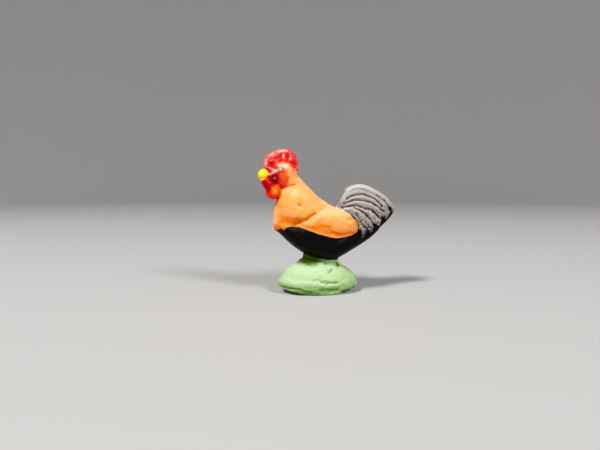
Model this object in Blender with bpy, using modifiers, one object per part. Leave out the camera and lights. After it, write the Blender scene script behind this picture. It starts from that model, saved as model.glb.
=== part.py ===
"""A small moulded clay rooster, painted by hand, standing on its own green mound.

The bird faces -X and its left side faces -Y. The floor is Z = 0 and the origin is the middle of
the mound's underside. Lengths below are in millimetres; MM turns them into metres.

Every form is a loft over ribs. A rib runs in the bird's middle plane from one point of the side
outline to the opposite one, and a rounded section with a half width in Y stands on it. The forms
are joined into one piece of clay, which thin cuts then part where a person would name its parts.
"""
import math

import bmesh
import bpy
from mathutils import Vector

MM = 0.001
GAP = 0.25              # between two parted pieces
WALL_REACH = 12.0       # how far a parting cut reaches to each side in Y

# Paint as colour, roughness
RED = ((0.72, 0.01, 0.02), 0.25)
YELLOW = ((1.0, 0.72, 0.0), 0.35)
ORANGE = ((1.0, 0.36, 0.06), 0.55)
BLACK = ((0.012, 0.012, 0.013), 0.4)
TAIL_GREY = ((0.42, 0.39, 0.37), 0.6)
GREEN = ((0.36, 0.68, 0.25), 0.7)
EYE_BLACK = ((0.02, 0.02, 0.02), 0.15)


def upright(x, low, high, half_width):
    """A rib that stands straight up."""
    return (x, low, x, high, half_width)


def level(z, front, back, half_width):
    """A rib that lies level."""
    return (front, z, back, z, half_width)


# Each rib is first point X, Z, last point X, Z and half width
MOUND = [
    level(0.0, -5.0, 6.3, 4.75),
    level(0.4, -6.4, 7.2, 4.95),
    level(0.9, -7.7, 7.9, 5.15),
    level(1.5, -8.35, 8.35, 5.3),
    level(2.5, -8.5, 8.2, 5.3),
    level(3.7, -7.7, 7.5, 4.8),
    level(4.9, -6.8, 6.3, 4.0),
    level(5.7, -5.6, 4.8, 3.0),
    level(6.2, -4.2, 3.8, 2.0),
]
LEG_WEB = [
    level(4.8, -4.9, 4.7, 2.2),
    level(6.0, -4.5, 4.2, 1.8),
    level(6.9, -3.3, 3.8, 1.4),
    level(8.2, -2.9, 3.8, 1.4),
    level(9.6, -2.6, 3.6, 1.6),
]
FORWARD_LEG = [
    level(4.8, -4.4, 0.8, 1.6),
    level(6.2, -3.9, 0.5, 1.3),
    level(7.0, -3.2, 0.4, 1.2),
    level(8.2, -2.95, 0.8, 1.5),
    level(9.6, -2.8, 1.4, 1.9),
]
REAR_LEG = [
    level(4.8, -0.6, 5.0, 1.6),
    level(6.2, -0.1, 4.2, 1.3),
    level(7.0, -0.1, 3.85, 1.25),
    level(8.2, -0.3, 3.8, 1.5),
    level(9.6, -0.7, 3.7, 1.9),
]
LEG_OFFSET = 0.95       # each leg's middle from the bird's middle plane

TORSO = [
    upright(-9.0, 13.3, 14.6, 0.8),
    upright(-8.2, 12.45, 16.6, 2.3),
    upright(-6.6, 10.8, 18.0, 3.7),
    upright(-4.5, 9.1, 18.8, 4.5),
    upright(-2.0, 7.7, 19.2, 4.8),
    upright(0.8, 7.0, 19.1, 4.8),
    upright(3.2, 6.8, 17.95, 4.6),
    upright(5.4, 7.7, 17.1, 4.1),
    upright(7.4, 8.9, 15.8, 3.3),
    upright(9.4, 10.0, 14.3, 2.3),
    upright(11.4, 11.4, 13.9, 1.6),
    upright(13.1, 12.9, 14.2, 0.8),
]
WINGS = [
    upright(-5.2, 14.2, 15.2, 3.4),
    upright(-3.6, 13.3, 16.6, 4.7),
    upright(-0.6, 12.35, 17.6, 5.15),
    upright(2.8, 11.6, 17.3, 5.15),
    upright(5.6, 11.9, 16.5, 4.7),
    upright(6.9, 12.3, 15.6, 4.0),
    upright(7.8, 12.9, 14.8, 2.8),
    upright(8.15, 13.5, 14.2, 1.5),
]
HACKLE = [
    (-8.0, 22.9, -5.1, 25.3, 1.8),
    (-8.3, 21.6, -4.55, 24.6, 2.3),
    (-8.5, 20.3, -3.75, 23.4, 2.75),
    (-8.85, 19.2, -2.85, 22.35, 3.25),
    (-9.25, 17.7, -1.6, 21.15, 4.0),
    (-9.5, 16.0, -0.3, 20.1, 4.7),
    (-9.45, 14.6, 0.8, 19.3, 5.1),
    (-9.1, 13.5, 1.5, 18.85, 5.0),
    (-8.3, 13.0, 1.6, 18.2, 4.3),
    (-7.0, 13.2, 1.0, 17.4, 3.0),
]
HEAD = [
    upright(-11.2, 23.6, 25.4, 0.9),
    upright(-10.2, 22.7, 26.2, 1.6),
    upright(-8.8, 22.0, 26.9, 2.2),
    upright(-7.2, 21.8, 27.0, 2.4),
    upright(-5.8, 22.4, 26.3, 2.1),
    upright(-4.9, 23.5, 25.4, 1.3),
]
COMB = [
    upright(-11.45, 26.1, 27.1, 0.5),
    upright(-11.1, 25.6, 28.15, 0.9),
    upright(-10.2, 25.4, 29.1, 1.15),
    upright(-9.1, 25.2, 29.6, 1.25),
    upright(-7.6, 25.1, 29.95, 1.25),
    upright(-6.3, 24.9, 29.8, 1.25),
    upright(-5.4, 24.5, 29.2, 1.15),
    upright(-4.7, 24.4, 28.3, 0.95),
    upright(-4.3, 25.3, 27.1, 0.5),
]
BEAK = [
    upright(-12.66, 24.0, 24.9, 0.3),
    upright(-12.4, 23.55, 25.4, 0.7),
    upright(-11.7, 23.2, 25.85, 1.0),
    upright(-10.9, 23.3, 25.8, 1.1),
    upright(-10.2, 23.7, 25.5, 1.0),
]
WATTLE = [
    (-12.15, 23.4, -10.2, 24.3, 0.6),
    (-11.75, 22.4, -8.9, 23.2, 0.8),
    (-11.1, 21.5, -8.5, 22.1, 0.95),
    (-11.0, 20.6, -8.2, 21.0, 0.95),
    (-10.6, 19.95, -8.3, 20.2, 0.75),
    (-9.9, 19.5, -8.8, 19.6, 0.35),
]
WATTLE_OFFSET = 0.75
THROAT = [
    (-9.4, 20.1, -7.6, 20.8, 0.9),
    (-9.5, 21.2, -7.1, 21.9, 1.3),
    (-9.8, 22.3, -6.8, 22.8, 1.7),
    (-10.3, 23.2, -6.6, 24.0, 1.6),
]

TAIL = [
    (3.4, 16.9, 3.5, 18.1, 1.6),
    (4.8, 16.0, 4.9, 20.4, 1.75),
    (6.3, 15.1, 6.7, 22.2, 1.75),
    (7.5, 14.2, 9.3, 22.7, 1.65),
    (8.2, 13.2, 12.2, 21.6, 1.4),
    (8.6, 12.2, 14.9, 19.8, 1.25),
    (9.1, 11.4, 16.6, 17.6, 1.05),
    (9.9, 10.9, 16.2, 16.3, 0.8),
    (10.8, 11.0, 15.3, 15.1, 0.5),
]
# The tail's sickle feathers run from root to tip; the others lie evenly between these three
SICKLE_LINES = [
    [(4.1, 18.0), (5.5, 20.9), (8.5, 22.25), (13.0, 20.75), (16.3, 17.3)],
    [(4.8, 17.4), (6.2, 18.6), (8.7, 18.8), (11.7, 17.7), (13.5, 15.0)],
    [(6.4, 16.9), (7.3, 16.6), (8.2, 15.5), (8.8, 13.9), (9.35, 11.7)],
]
SICKLES = 7
SICKLE_SHARE = 0.6      # how much of the room to its neighbour each half of a feather fills
SICKLE_NARROWEST = 0.35
SICKLE_WIDEST = 0.72
SICKLE_THICKNESS = 1.5  # at its root, to each side of the middle plane
SICKLE_SWELL = 0.5      # how much thicker it grows towards its tip

# Folds of clay raised on both sides: line, radius of the fold and how far it stands proud
FOLDS = {
    "brow": ([(-10.6, 24.75), (-9.4, 25.25), (-8.6, 25.6)], 0.4, 0.22),
    "ear": ([(-8.0, 24.3), (-7.9, 23.0)], 0.5, 0.2),
    "throat_lump": ([(-9.3, 21.6), (-9.0, 21.1)], 0.55, 0.25),
}
# Hollows pressed into both sides of the comb and head: place, radius and depth
PITS = {
    "comb_front": ((-9.7, 26.6), 0.8, 0.4),
    "comb_top": ((-9.5, 27.9), 0.5, 0.25),
    "comb_middle": ((-8.1, 27.9), 0.55, 0.25),
    "comb_back": ((-6.75, 28.1), 0.6, 0.3),
    "comb_rear": ((-5.55, 26.7), 0.6, 0.3),
    "cheek": ((-9.5, 23.7), 0.9, 0.45),
    "dimple": ((-4.65, 18.4), 0.45, 0.25),
}
# Lines drawn into both sides: line, radius of the tool and depth
GROOVES = {
    "hackle_line": ([(-6.6, 14.0), (-5.3, 14.6), (-4.1, 15.3), (-3.0, 16.0), (-1.6, 16.8), (-0.6, 17.6)],
                    0.4, 0.3),
    "wing_line": ([(-0.8, 14.7), (1.25, 13.7), (2.2, 12.9), (5.4, 12.8)], 0.35, 0.2),
    "wing_tip_line": ([(4.7, 15.6), (5.9, 15.7), (6.9, 15.3)], 0.3, 0.15),
}
# Lines drawn into the near side of the mound
MOUND_GROOVES = {
    "crease": ([(-3.6, 3.2), (-2.6, 3.3), (-1.0, 3.15), (0.0, 2.75), (1.5, 2.65), (2.8, 2.6), (4.2, 2.65),
                (5.7, 2.9)], 0.3, 0.15),
    "lip": ([(-7.6, 2.0), (-6.7, 1.85), (-4.9, 1.4), (-3.5, 0.8), (-2.2, 0.75), (-0.9, 1.1), (1.6, 1.15),
             (3.6, 1.05)], 0.3, 0.2),
}

WING_ROOT = 2.8         # from the middle plane to the cut between back and wing

EYE = (-8.2, 2.1, 25.45)
EYE_RADIUS = 0.5

# Where thin cuts part the clay, as lines in the side view
PARTINGS = {
    "mound_top": [(-9.5, 5.9), (9.5, 5.9)],
    "leg_top": [(-5.5, 9.2), (-3.0, 8.2), (-1.2, 7.55), (0.6, 7.2), (2.4, 7.0), (6.5, 6.9)],
    "between_legs": [(0.1, 5.9), (0.1, 7.25)],
    "paint_edge": [(-10.5, 12.4), (-8.9, 13.0), (-7.2, 13.75), (-5.0, 14.05), (-3.4, 13.6), (-1.0, 12.55),
                   (1.4, 11.75), (3.4, 11.45), (5.4, 11.5), (6.9, 11.95), (8.1, 12.85), (8.55, 13.9),
                   (8.3, 14.9), (7.3, 16.1), (5.9, 16.95), (4.2, 17.5), (2.9, 18.3), (2.5, 19.4)],
    "under_tail": [(8.5, 13.9), (8.6, 12.4), (9.3, 11.0), (11.0, 9.8)],
    "hackle_edge": [(-5.6, 13.9), (-4.3, 15.1), (-2.4, 16.3), (-0.6, 17.5), (1.0, 18.9), (2.2, 20.6)],
    "hackle_top": [(-8.5, 21.2), (-7.4, 21.7), (-6.4, 22.0), (-4.6, 22.4), (-2.4, 24.2)],
    "face_edge": [(-5.7, 26.0), (-6.6, 24.5), (-7.3, 22.9), (-7.6, 21.7)],
    "comb_foot": [(-12.6, 25.7), (-11.4, 25.75), (-10.2, 25.95), (-8.8, 26.55), (-7.1, 26.8), (-5.6, 26.0),
                  (-4.4, 24.9), (-3.6, 24.2)],
    "beak_root": [(-10.75, 25.85), (-10.7, 24.6), (-11.1, 23.3), (-12.0, 22.6)],
    "wattle_top": [(-11.1, 23.3), (-10.4, 22.9), (-9.3, 22.3), (-8.55, 21.3), (-8.5, 20.3), (-8.75, 19.6),
                   (-9.3, 19.2), (-10.2, 19.0)],
}

# A point inside each parted piece, and its paint
PIECES = {
    "mound": ((0.0, 0.0, 3.0), GREEN),
    "leg_right": ((-1.6, 0.9, 6.6), GREEN),
    "leg_left": ((2.4, -0.9, 6.5), GREEN),
    "underbody": ((0.0, 0.0, 9.5), BLACK),
    "back": ((3.0, 0.0, 14.5), ORANGE),
    "wing_left": ((1.5, -4.0, 14.5), ORANGE),
    "wing_right": ((1.5, 4.0, 14.5), ORANGE),
    "hackle": ((-5.0, 0.0, 18.0), ORANGE),
    "neck": ((-5.6, 0.0, 23.6), ORANGE),
    "tail": ((10.0, 0.0, 18.0), TAIL_GREY),
    "head": ((-8.5, 0.0, 24.0), RED),
    "comb": ((-7.6, 0.0, 28.4), RED),
    "beak": ((-11.8, 0.0, 24.5), YELLOW),
    "wattle_left": ((-10.0, -0.8, 21.5), RED),
    "wattle_right": ((-10.0, 0.8, 21.5), RED),
}


def smooth_rows(rows, steps):
    """Rows of numbers with steps - 1 more between each pair, on a smooth curve through them."""
    smoothed = []
    for i in range(len(rows) - 1):
        before = rows[max(i - 1, 0)]
        start = rows[i]
        end = rows[i + 1]
        after = rows[min(i + 2, len(rows) - 1)]
        for step in range(steps):
            t = step / steps
            smoothed.append(tuple(
                0.5 * (2 * b + (c - a) * t + (2 * a - 5 * b + 4 * c - d) * t ** 2
                       + (3 * b - a - 3 * c + d) * t ** 3)
                for a, b, c, d in zip(before, start, end, after)))
    smoothed.append(tuple(rows[-1]))
    return smoothed


def rounded(value, squareness):
    """A cosine or sine swelled from an ellipse, at 2, towards a box."""
    return math.copysign(abs(value) ** (2 / squareness), value)


def loft(name, ribs, sides=24, steps=2, squareness=2.0, offset=0.0):
    """One closed form over a row of ribs."""
    form = bmesh.new()
    rings = []
    for x0, z0, x1, z1, half_width in smooth_rows(ribs, steps):
        ring = []
        for side in range(sides):
            angle = 2 * math.pi * side / sides
            along = rounded(math.cos(angle), squareness)
            across = rounded(math.sin(angle), squareness)
            x = (x0 + x1) / 2 + along * (x1 - x0) / 2
            z = (z0 + z1) / 2 + along * (z1 - z0) / 2
            ring.append(form.verts.new(Vector((x, offset + across * half_width, z)) * MM))
        rings.append(ring)
    for ring, after in zip(rings, rings[1:]):
        for side in range(sides):
            beside = (side + 1) % sides
            form.faces.new((ring[side], ring[beside], after[beside], after[side]))
    form.faces.new(rings[0])
    form.faces.new(rings[-1])
    bmesh.ops.recalc_face_normals(form, faces=form.faces)
    return new_object(name, form)


def sickle_line(share):
    """The middle line of a sickle feather, from the top one at 0 to the lowest at 1."""
    above, below = SICKLE_LINES[0:2] if share < 0.5 else SICKLE_LINES[1:3]
    part = 2 * share - (0 if share < 0.5 else 1)
    line = [(x0 + (x1 - x0) * part, z0 + (z1 - z0) * part) for (x0, z0), (x1, z1) in zip(above, below)]
    return [Vector(place) for place in smooth_rows(line, 2)]


def sickle_ribs(number):
    """Ribs across one sickle feather, as long as the room between its neighbours."""
    between = 1 / (SICKLES - 1)
    share = number * between
    line = sickle_line(share)
    neighbour = sickle_line(share + between if number < SICKLES - 1 else share - between)
    ribs = []
    for i, place in enumerate(line):
        run = i / (len(line) - 1)
        along = (line[min(i + 1, len(line) - 1)] - line[max(i - 1, 0)]).normalized()
        across = Vector((-along.y, along.x))
        room = abs((neighbour[i] - place).dot(across))
        reach = min(max(SICKLE_SHARE * room, SICKLE_NARROWEST), SICKLE_WIDEST)
        thickness = SICKLE_THICKNESS + SICKLE_SWELL * math.sin(math.pi * min(0.2 + 0.8 * run, 0.9))
        start = place - across * reach
        end = place + across * reach
        ribs.append((start.x, start.y, end.x, end.y, thickness))
    return ribs


def on_side(clay, line, side):
    """The points of a side-view line moved out in Y to the clay's surface."""
    bpy.context.view_layer.update()
    placed = []
    for x, z in smooth_rows(line, 2):
        start = Vector((x, side * WALL_REACH, z)) * MM
        _, place, _, _ = clay.ray_cast(start, Vector((0, -side, 0)))
        placed.append(place / MM)
    return placed


def rod(name, places, radius, sides=8):
    """A round rod through the places, tapered at both ends."""
    form = bmesh.new()
    rings = []
    for i, place in enumerate(places):
        along = (places[min(i + 1, len(places) - 1)] - places[max(i - 1, 0)]).normalized()
        across = along.cross(Vector((0, 1, 0))).normalized()
        outward = along.cross(across).normalized()
        thin = 0.5 if i in (0, len(places) - 1) else 1.0
        ring = []
        for side in range(sides):
            angle = 2 * math.pi * side / sides
            arm = (across * math.cos(angle) + outward * math.sin(angle)) * radius * thin
            ring.append(form.verts.new((place + arm) * MM))
        rings.append(ring)
    for ring, after in zip(rings, rings[1:]):
        for side in range(sides):
            beside = (side + 1) % sides
            form.faces.new((ring[side], ring[beside], after[beside], after[side]))
    form.faces.new(rings[0])
    form.faces.new(rings[-1])
    bmesh.ops.recalc_face_normals(form, faces=form.faces)
    return new_object(name, form)


def side_rod(name, clay, line, side, radius, proud):
    """A rod along a line of the clay's side, standing proud of it, or sunk in where proud is below 0."""
    sunk = radius - abs(proud)
    shift = Vector((0, side * (-sunk if proud > 0 else sunk), 0))
    return rod(name, [place + shift for place in on_side(clay, line, side)], radius)


def side_ball(name, clay, place, side, radius, depth):
    """A ball that reaches into the clay's side by the depth."""
    surface = on_side(clay, [place, place], side)[0]
    return ball(name, surface + Vector((0, side * (radius - depth), 0)), radius, sides=12)


def wall(name, line):
    """A cut as thick as the gap, along a line of the side view."""
    form = bmesh.new()
    rows = []
    for x, z in smooth_rows(line, 3):
        near = form.verts.new(Vector((x, -WALL_REACH, z)) * MM)
        far = form.verts.new(Vector((x, WALL_REACH, z)) * MM)
        rows.append((near, far))
    for (near, far), (next_near, next_far) in zip(rows, rows[1:]):
        form.faces.new((near, far, next_far, next_near))
    sheet = new_object(name, form)
    thick = sheet.modifiers.new("thickness", "SOLIDIFY")
    thick.thickness = GAP * MM
    thick.offset = 0.0
    thick.use_even_offset = True
    return sheet


def panel(name, outline, offset):
    """A cut as thick as the gap, standing in a plane beside the bird's middle."""
    form = bmesh.new()
    face = form.faces.new([form.verts.new(Vector((x, offset - GAP / 2, z)) * MM) for x, z in outline])
    swept = bmesh.ops.extrude_face_region(form, geom=[face])
    moved = [item for item in swept["geom"] if isinstance(item, bmesh.types.BMVert)]
    bmesh.ops.translate(form, verts=moved, vec=Vector((0, GAP, 0)) * MM)
    bmesh.ops.recalc_face_normals(form, faces=form.faces)
    return new_object(name, form)


def back_outline():
    """The side outline of the back and wings, along the middles of the cuts round them."""
    front = smooth_rows(PARTINGS["hackle_edge"], 3)
    start = PARTINGS["hackle_edge"][0][0]
    below = [place for place in smooth_rows(PARTINGS["paint_edge"], 3) if place[0] > start]
    return front + below[::-1]


def wattle_outline():
    """The side outline of the wattles, along their top cut and round below them in the air."""
    return smooth_rows(PARTINGS["wattle_top"], 3) + [(-12.8, 18.9), (-12.35, 22.3)]


def ball(name, centre, radius, sides=16):
    """A round form."""
    form = bmesh.new()
    bmesh.ops.create_uvsphere(form, u_segments=sides, v_segments=sides // 2, radius=radius * MM)
    bmesh.ops.translate(form, verts=form.verts, vec=Vector(centre) * MM)
    return new_object(name, form)


def new_object(name, form):
    """The form as an object of the scene."""
    mesh = bpy.data.meshes.new(name)
    form.to_mesh(mesh)
    form.free()
    made = bpy.data.objects.new(name, mesh)
    bpy.context.scene.collection.objects.link(made)
    return made


def combine(base, others, operation):
    """Join others to base, or cut them from it, and remove them."""
    group = bpy.data.collections.new("operands")
    bpy.context.scene.collection.children.link(group)
    for other in others:
        group.objects.link(other)
    boolean = base.modifiers.new(operation.lower(), "BOOLEAN")
    boolean.operation = operation
    boolean.operand_type = "COLLECTION"
    boolean.collection = group
    boolean.solver = "EXACT"
    bpy.context.view_layer.update()
    evaluated = base.evaluated_get(bpy.context.evaluated_depsgraph_get())
    result = bpy.data.meshes.new_from_object(evaluated)
    base.modifiers.clear()
    base.data = result
    for other in others:
        bpy.data.objects.remove(other)
    bpy.data.collections.remove(group)


def part_pieces(whole):
    """The closed bodies that the cuts leave, as objects."""
    bpy.context.view_layer.objects.active = whole
    whole.select_set(True)
    bpy.ops.object.mode_set(mode="EDIT")
    bpy.ops.mesh.select_all(action="SELECT")
    bpy.ops.mesh.separate(type="LOOSE")
    bpy.ops.object.mode_set(mode="OBJECT")
    bpy.context.view_layer.update()
    return list(bpy.context.selected_objects)


def keep_largest_surface(piece):
    """Drop every closed surface of the piece but the largest, such as a pocket sealed where forms meet."""
    form = bmesh.new()
    form.from_mesh(piece.data)
    left = set(form.faces)
    surfaces = []
    while left:
        reached = {left.pop()}
        growing = list(reached)
        while growing:
            face = growing.pop()
            beside = {other for edge in face.edges for other in edge.link_faces} & left
            left -= beside
            reached |= beside
            growing.extend(beside)
        surfaces.append(reached)
    surfaces.sort(key=lambda faces: sum(face.calc_area() for face in faces))
    smaller = [face for faces in surfaces[:-1] for face in faces]
    bmesh.ops.delete(form, geom=smaller, context="FACES")
    form.to_mesh(piece.data)
    form.free()


def holds(piece, point):
    """Whether the point lies inside the piece: a line up from it crosses the surface an odd number of times."""
    upwards = Vector((0, 0, 1))
    crossings = 0
    found, place, _, _ = piece.ray_cast(point, upwards)
    while found:
        crossings += 1
        found, place, _, _ = piece.ray_cast(place + upwards * 0.001 * MM, upwards)
    return crossings % 2 == 1


def paint(piece, finish):
    """Give the piece its own painted material."""
    colour, roughness = finish
    material = bpy.data.materials.new(piece.name + "_paint")
    material.use_nodes = True
    shader = material.node_tree.nodes["Principled BSDF"]
    shader.inputs["Base Color"].default_value = (*colour, 1.0)
    shader.inputs["Roughness"].default_value = roughness
    shader.inputs["Metallic"].default_value = 0.0
    piece.data.materials.clear()
    piece.data.materials.append(material)
    piece.data.shade_smooth()
    piece.data.set_sharp_from_angle(angle=math.radians(40))


def main():
    for old in list(bpy.data.objects):
        bpy.data.objects.remove(old)
    model = bpy.data.collections.new("clay_rooster")
    bpy.context.scene.collection.children.link(model)

    tail = loft("tail_form", TAIL, sides=20)
    combine(tail, [loft("sickle", sickle_ribs(number), sides=12, steps=1, squareness=2.6)
                   for number in range(SICKLES)], "UNION")
    whole = loft("clay", TORSO)
    combine(whole, [
        tail,
        loft("mound_form", MOUND, sides=32, squareness=2.2),
        loft("leg_web", LEG_WEB, sides=20),
        loft("forward_leg", FORWARD_LEG, sides=16, offset=LEG_OFFSET),
        loft("rear_leg", REAR_LEG, sides=16, offset=-LEG_OFFSET),
        loft("wing_forms", WINGS, squareness=3.0),
        loft("hackle_form", HACKLE, sides=28),
        loft("head_form", HEAD, sides=20),
        loft("comb_form", COMB, sides=20, squareness=2.5),
        loft("beak_form", BEAK, sides=16),
        loft("near_wattle", WATTLE, sides=14, offset=-WATTLE_OFFSET),
        loft("far_wattle", WATTLE, sides=14, offset=WATTLE_OFFSET),
        loft("throat_form", THROAT, sides=16),
    ], "UNION")
    raised = []
    for side in (-1, 1):
        raised += [side_rod(name, whole, line, side, radius, proud)
                   for name, (line, radius, proud) in FOLDS.items()]
    combine(whole, raised, "UNION")
    pressed = []
    for side in (-1, 1):
        pressed += [side_ball(name, whole, place, side, radius, depth)
                    for name, (place, radius, depth) in PITS.items()]
        pressed += [side_rod(name, whole, line, side, radius, -depth)
                    for name, (line, radius, depth) in GROOVES.items()]
    pressed += [side_rod(name, whole, line, -1, radius, -depth)
                for name, (line, radius, depth) in MOUND_GROOVES.items()]
    combine(whole, pressed, "DIFFERENCE")

    cuts = [wall(name, line) for name, line in PARTINGS.items()]
    cuts.append(panel("between_wattles", wattle_outline(), 0.0))
    for side in (-1, 1):
        cuts.append(panel("wing_root", back_outline(), side * WING_ROOT))
        cuts.append(ball("socket", (EYE[0], side * EYE[1], EYE[2]), EYE_RADIUS + GAP))
    combine(whole, cuts, "DIFFERENCE")

    pieces = part_pieces(whole)
    for name, (inside, finish) in PIECES.items():
        point = Vector(inside) * MM
        piece = next(each for each in pieces if holds(each, point))
        pieces.remove(piece)
        keep_largest_surface(piece)
        piece.name = name
        paint(piece, finish)
        model.objects.link(piece)
        bpy.context.scene.collection.objects.unlink(piece)
    for scrap in pieces:
        bpy.data.objects.remove(scrap)
    for name, side in (("eye_left", -1), ("eye_right", 1)):
        eye = ball(name, (EYE[0], side * EYE[1], EYE[2]), EYE_RADIUS)
        paint(eye, EYE_BLACK)
        model.objects.link(eye)
        bpy.context.scene.collection.objects.unlink(eye)


main()
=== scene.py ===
"""The painted clay rooster: a skin of clay over the solids, its paint and eyes, floor, light and camera.

Lengths are in millimetres, in the bird's own frame: it faces -X, its left side faces -Y and the
floor is Z = 0. MM turns them into metres.

The clay is a field over a grid: about the distance to the surface, negative inside. Each form is
built over ribs as the solids are. A rib runs in the middle plane from one point of the side outline
to the opposite one and has a rounded section. Forms are melted together, strokes of the modelling
tool are pressed in, and the surface is drawn off as one mesh.
"""
import math

import bmesh
import bpy
import numpy as np
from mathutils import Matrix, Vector, noise


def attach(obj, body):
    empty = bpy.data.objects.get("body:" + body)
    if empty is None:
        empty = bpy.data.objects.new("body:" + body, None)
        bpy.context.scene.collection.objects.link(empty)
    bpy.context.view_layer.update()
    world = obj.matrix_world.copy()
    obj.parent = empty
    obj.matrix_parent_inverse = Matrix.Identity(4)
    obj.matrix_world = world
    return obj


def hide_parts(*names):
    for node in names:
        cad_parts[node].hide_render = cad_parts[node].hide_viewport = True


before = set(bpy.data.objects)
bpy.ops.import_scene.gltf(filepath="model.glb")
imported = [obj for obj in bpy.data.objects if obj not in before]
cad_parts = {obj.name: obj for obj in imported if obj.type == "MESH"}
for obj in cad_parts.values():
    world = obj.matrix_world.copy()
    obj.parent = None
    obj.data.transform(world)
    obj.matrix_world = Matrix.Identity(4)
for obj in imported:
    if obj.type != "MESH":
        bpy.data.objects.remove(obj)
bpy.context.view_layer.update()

MM = 0.001
# The field's grid
GRID_STEP = 0.15
GRID_LOW = (-14.0, -6.6, -1.0)
GRID_HIGH = (18.2, 6.6, 31.2)
# Steps from one rib to the next
RIB_STEPS = 5
# Least length or slope that the field is divided by, and a share of a rib that is far outside it
LEAST_DIVISOR = 0.05
FAR_ALONG = 50.0
# How softly a stroke ends at the bird's middle plane, and how far the far side's strokes are off
MIDDLE_SOFTNESS = 0.15
STROKE_SHIFT = 0.12
# How far back and down the far side's paint borders are off
PAINT_SHIFT_X = 0.3
PAINT_SHIFT_Z = 0.2

GRID_X, GRID_Y, GRID_Z = (np.arange(low, high + GRID_STEP, GRID_STEP)
                          for low, high in zip(GRID_LOW, GRID_HIGH))
SIDE_X, SIDE_Z = np.meshgrid(GRID_X, GRID_Z, indexing="ij")
# How far a wavering hand strays from its line, and how hard it presses, at each place of the side view
WAVER_X = 0.08 * np.sin(1.3 * SIDE_Z + 0.6 * SIDE_X)
WAVER_Z = 0.08 * np.sin(1.5 * SIDE_X - 0.8 * SIDE_Z) + 0.04 * np.sin(3.4 * SIDE_X + 1.9)
HAND_FORCE = 1 + 0.25 * np.sin(2.1 * SIDE_X + 1.6 * SIDE_Z) * np.sin(1.3 * SIDE_X - 2.3 * SIDE_Z)
ACROSS = GRID_Y[None, :, None]
CELL_CORNERS = [(i, j, k) for i in (0, 1) for j in (0, 1) for k in (0, 1)]


def uprights(rows):
    """Ribs that stand straight up, each given as X, low Z, high Z and half width."""
    return [(x, low, x, high, half_width) for x, low, high, half_width in rows]


def levels(rows):
    """Ribs that lie level, each given as Z, front X, back X and half width."""
    return [(front, z, back, z, half_width) for z, front, back, half_width in rows]


# The ribs of each form; one that slants is first point X, Z, last point X, Z and half width
MOUND = levels([
    (-0.6, -4.6, 6.0, 4.5),
    (0.0, -5.0, 6.3, 4.75),
    (0.4, -6.4, 7.2, 4.95),
    (0.9, -7.7, 7.9, 5.15),
    (1.5, -8.35, 8.35, 5.3),
    (2.5, -8.5, 8.2, 5.3),
    (3.7, -7.7, 7.5, 4.8),
    (4.9, -6.8, 6.3, 4.0),
    (5.7, -5.6, 4.8, 3.0),
    (6.2, -4.2, 3.8, 2.0),
])
LEG_WEB = levels([
    (4.8, -4.9, 4.7, 2.2),
    (6.0, -4.5, 4.2, 1.8),
    (6.9, -3.3, 3.8, 1.4),
    (8.2, -2.9, 3.8, 1.4),
    (9.6, -2.6, 3.6, 1.6),
])
FORWARD_LEG = levels([
    (4.8, -4.4, 0.8, 1.6),
    (6.2, -3.9, 0.5, 1.3),
    (7.0, -3.2, 0.4, 1.2),
    (8.2, -2.95, 0.8, 1.5),
    (9.6, -2.8, 1.4, 1.9),
])
REAR_LEG = levels([
    (4.8, -0.6, 5.0, 1.6),
    (6.2, -0.1, 4.2, 1.3),
    (7.0, -0.1, 3.85, 1.25),
    (8.2, -0.3, 3.8, 1.5),
    (9.6, -0.7, 3.7, 1.9),
])
# How far each leg lies to its side
LEG_OFFSET = 0.95
TORSO = uprights([
    (-9.0, 13.3, 14.6, 0.8),
    (-8.2, 12.45, 16.6, 2.3),
    (-6.6, 10.8, 18.0, 3.7),
    (-4.5, 9.1, 18.8, 4.5),
    (-2.0, 7.7, 19.2, 4.8),
    (0.8, 7.0, 18.95, 4.8),
    (3.2, 6.8, 17.95, 4.6),
    (5.4, 7.7, 17.1, 4.1),
    (7.4, 8.9, 15.8, 3.3),
    (9.4, 10.0, 14.3, 2.3),
    (11.4, 11.4, 13.9, 1.6),
    (13.1, 12.9, 14.2, 0.8),
])
WINGS = uprights([
    (-5.2, 14.2, 15.2, 3.4),
    (-3.6, 13.3, 16.6, 4.7),
    (-0.6, 12.35, 17.6, 5.15),
    (2.8, 11.6, 17.3, 5.15),
    (5.6, 11.9, 16.5, 4.7),
    (6.9, 12.3, 15.6, 4.0),
    (7.8, 12.9, 14.8, 2.8),
    (8.15, 13.5, 14.2, 1.5),
])
HACKLE = [
    (-8.0, 22.9, -5.1, 25.3, 1.8),
    (-8.3, 21.6, -4.55, 24.6, 2.3),
    (-8.5, 20.3, -3.55, 23.6, 2.75),
    (-8.85, 19.2, -2.6, 22.6, 3.25),
    (-9.25, 17.7, -1.4, 21.4, 4.0),
    (-9.5, 16.0, -0.25, 20.25, 4.6),
    (-9.45, 14.6, 0.6, 19.35, 4.95),
    (-9.1, 13.5, 1.2, 18.7, 4.8),
    (-8.3, 13.0, 1.3, 18.1, 4.1),
    (-7.0, 13.2, 0.8, 17.3, 2.9),
]
HEAD = uprights([
    (-11.2, 23.6, 25.4, 0.9),
    (-10.2, 22.7, 26.2, 1.6),
    (-8.8, 22.0, 26.9, 2.2),
    (-7.2, 21.8, 27.0, 2.4),
    (-5.8, 22.4, 26.3, 2.1),
    (-4.9, 23.5, 25.4, 1.3),
])
COMB = uprights([
    (-11.45, 26.1, 27.1, 0.5),
    (-11.1, 25.6, 28.15, 0.9),
    (-10.2, 25.4, 29.1, 1.15),
    (-9.1, 25.2, 29.6, 1.25),
    (-7.6, 25.1, 29.95, 1.25),
    (-6.3, 24.9, 29.8, 1.25),
    (-5.4, 24.5, 29.2, 1.15),
    (-4.7, 24.4, 28.3, 0.95),
    (-4.3, 25.3, 27.1, 0.5),
])
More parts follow.
